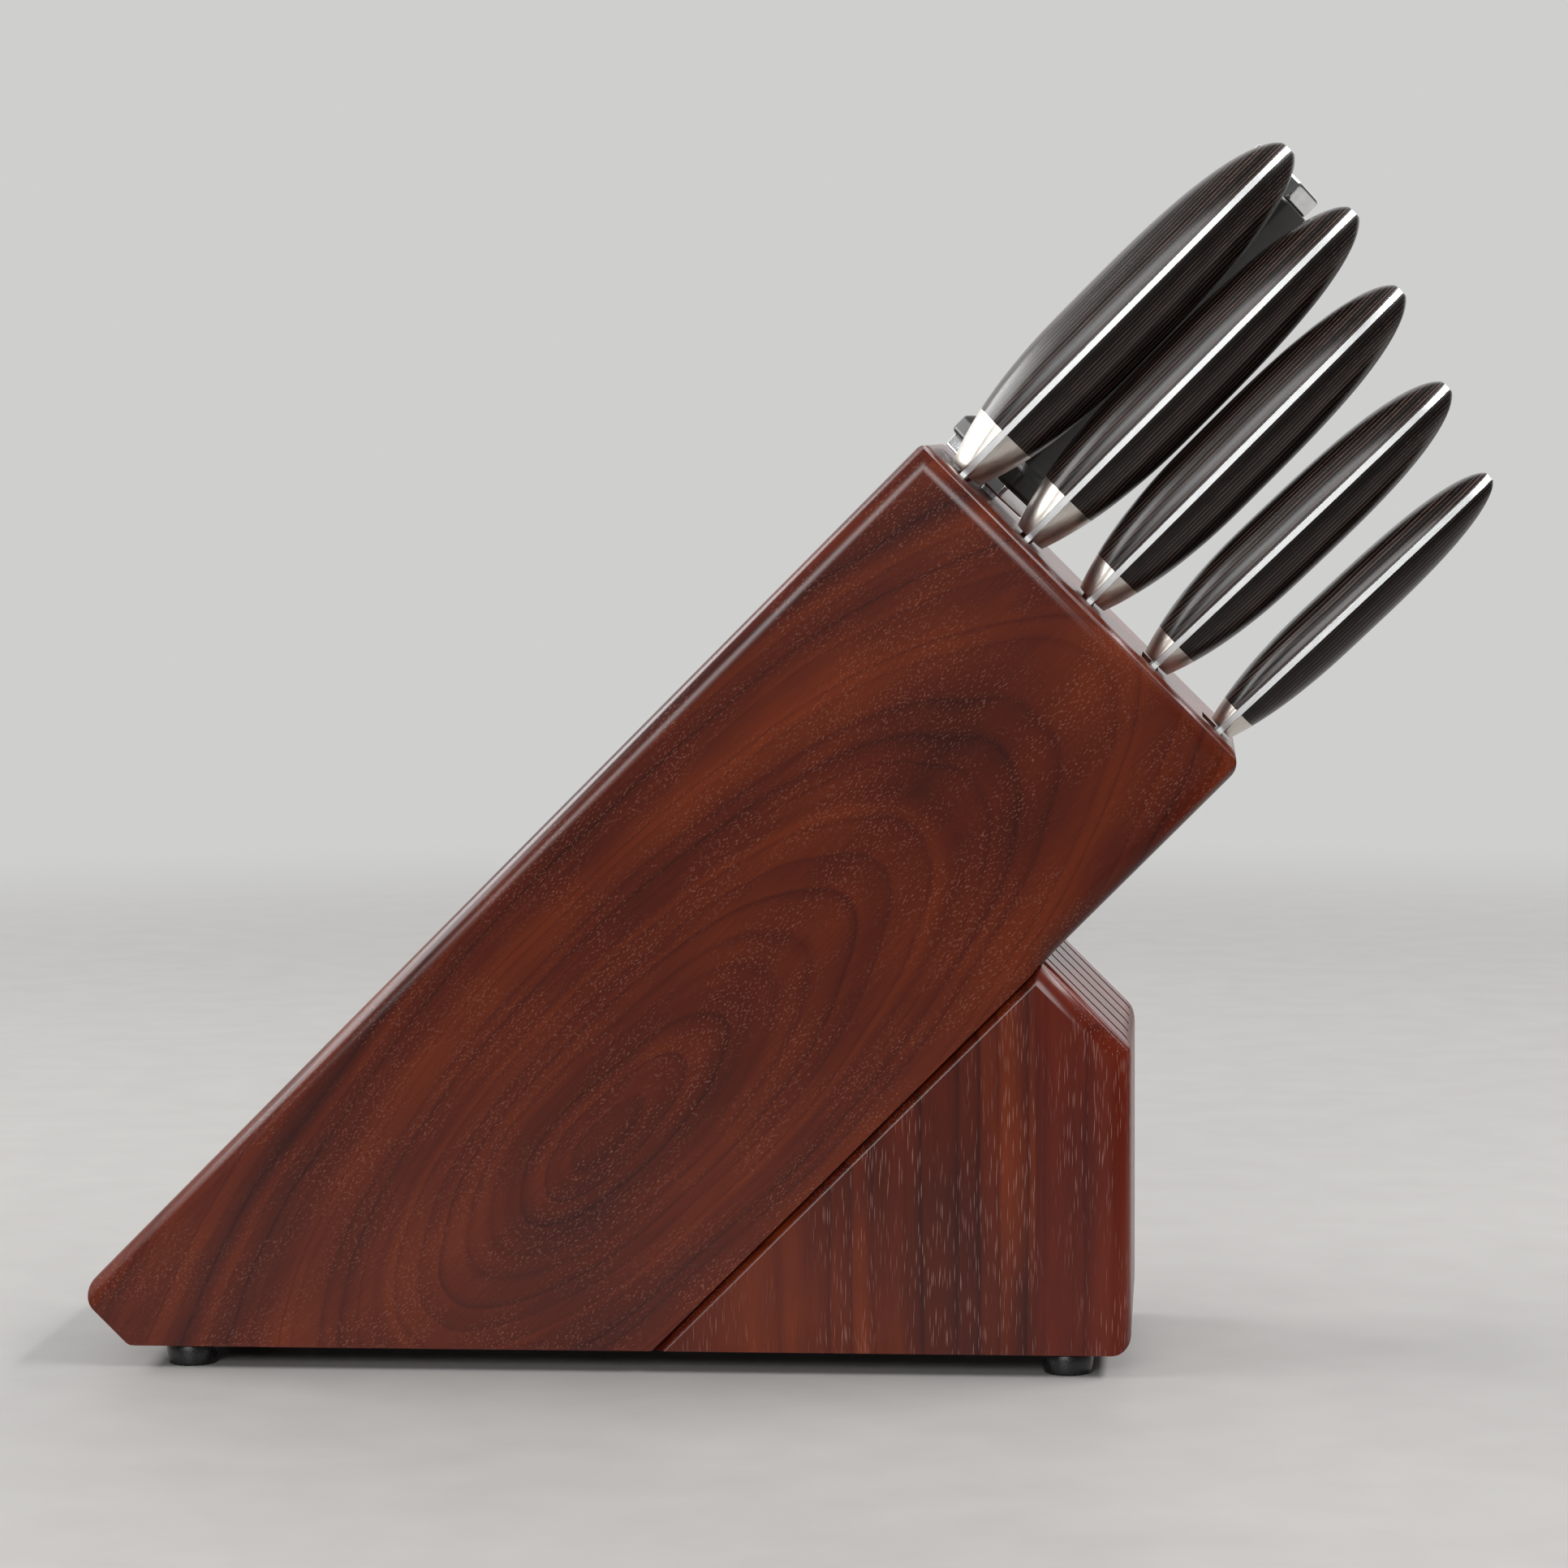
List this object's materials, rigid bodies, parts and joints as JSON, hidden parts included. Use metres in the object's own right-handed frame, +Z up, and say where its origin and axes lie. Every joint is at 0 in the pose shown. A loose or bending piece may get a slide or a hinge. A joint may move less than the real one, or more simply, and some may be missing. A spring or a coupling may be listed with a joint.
{
  "type": "knife block with knives",
  "caption": "Slanted hardwood knife block on a front stand with narrow slots, holding full-tang knives and a sharpening steel.",
  "frame": {"origin": "middle of the overall box at floor level; the floor is Z = 0 and Y = 0 is the middle of the block's width", "axes": "+X from the toe of the block towards the knife handles, +Y from the pictured side to the far side, +Z up"},
  "size_m": [0.3769, 0.1, 0.3294],
  "materials": {
    "wood_side": "satin lacquer",
    "wood_front": "satin lacquer",
    "wood_core": "satin lacquer",
    "dowel_wood": "bare",
    "foot_rubber": "matte",
    "screw_steel": "zinc plated",
    "blade_steel": "fine ground",
    "bolster_steel": "satin",
    "scale_wood": "polished laminate",
    "rod_steel": "lengthwise ribbed",
    "polished_steel": "polished",
    "grip_plastic": "matte"
  },
  "bodies": {
    "block": {"near_cheek": "wood_side", "far_cheek": "wood_side", "core_board_1": "wood_core", "core_board_2": "wood_core", "core_board_3": "wood_core", "core_board_4": "wood_core", "core_board_5": "wood_core", "core_board_6": "wood_core", "near_strips": "wood_core", "far_strips": "wood_core", "slot_stops": "wood_core", "dowels": "dowel_wood", "stand_rear_near": "wood_side", "stand_front_near": "wood_front", "stand_rear_far": "wood_side", "stand_front_far": "wood_front", "stand_board_1": "wood_core", "stand_board_2": "wood_core", "stand_board_3": "wood_core", "stand_board_4": "wood_core", "stand_rear_fillers": "wood_core", "stand_front_fillers": "wood_core", "foot_toe_near": "foot_rubber", "foot_toe_far": "foot_rubber", "foot_front_near": "foot_rubber", "foot_front_far": "foot_rubber", "foot_screws": "screw_steel"},
    "bread_knife": {"bread_blade_tang": "blade_steel", "bread_bolster_halves": "bolster_steel", "bread_scale_upper": "scale_wood", "bread_scale_lower": "scale_wood"},
    "chef_knife": {"chef_blade_tang": "blade_steel", "chef_bolster_halves": "bolster_steel", "chef_scale_upper": "scale_wood", "chef_scale_lower": "scale_wood"},
    "carving_knife": {"carving_blade_tang": "blade_steel", "carving_bolster_halves": "bolster_steel", "carving_scale_upper": "scale_wood", "carving_scale_lower": "scale_wood"},
    "utility_knife": {"utility_blade_tang": "blade_steel", "utility_bolster_halves": "bolster_steel", "utility_scale_upper": "scale_wood", "utility_scale_lower": "scale_wood"},
    "paring_knife": {"paring_blade_tang": "blade_steel", "paring_bolster_halves": "bolster_steel", "paring_scale_upper": "scale_wood", "paring_scale_lower": "scale_wood"},
    "sharpening_steel": {"steel_rod": "rod_steel", "steel_ferrule": "polished_steel", "steel_grip": "grip_plastic", "steel_cap": "polished_steel"}
  },
  "joints": [
    {"name": "bread_draw", "type": "slide", "parent": "block", "child": "bread_knife", "axis": [0.7071, 0, 0.7071], "range_m": [0, 0.217]},
    {"name": "chef_draw", "type": "slide", "parent": "block", "child": "chef_knife", "axis": [0.7071, 0, 0.7071], "range_m": [0, 0.212]},
    {"name": "carving_draw", "type": "slide", "parent": "block", "child": "carving_knife", "axis": [0.7071, 0, 0.7071], "range_m": [0, 0.172]},
    {"name": "utility_draw", "type": "slide", "parent": "block", "child": "utility_knife", "axis": [0.7236, 0, 0.6903], "range_m": [0, 0.132]},
    {"name": "paring_draw", "type": "slide", "parent": "block", "child": "paring_knife", "axis": [0.7272, 0, 0.6865], "range_m": [0, 0.102]},
    {"name": "steel_draw", "type": "slide", "parent": "block", "child": "sharpening_steel", "axis": [0.7071, 0, 0.7071], "range_m": [0, 0.217]}
  ]
}
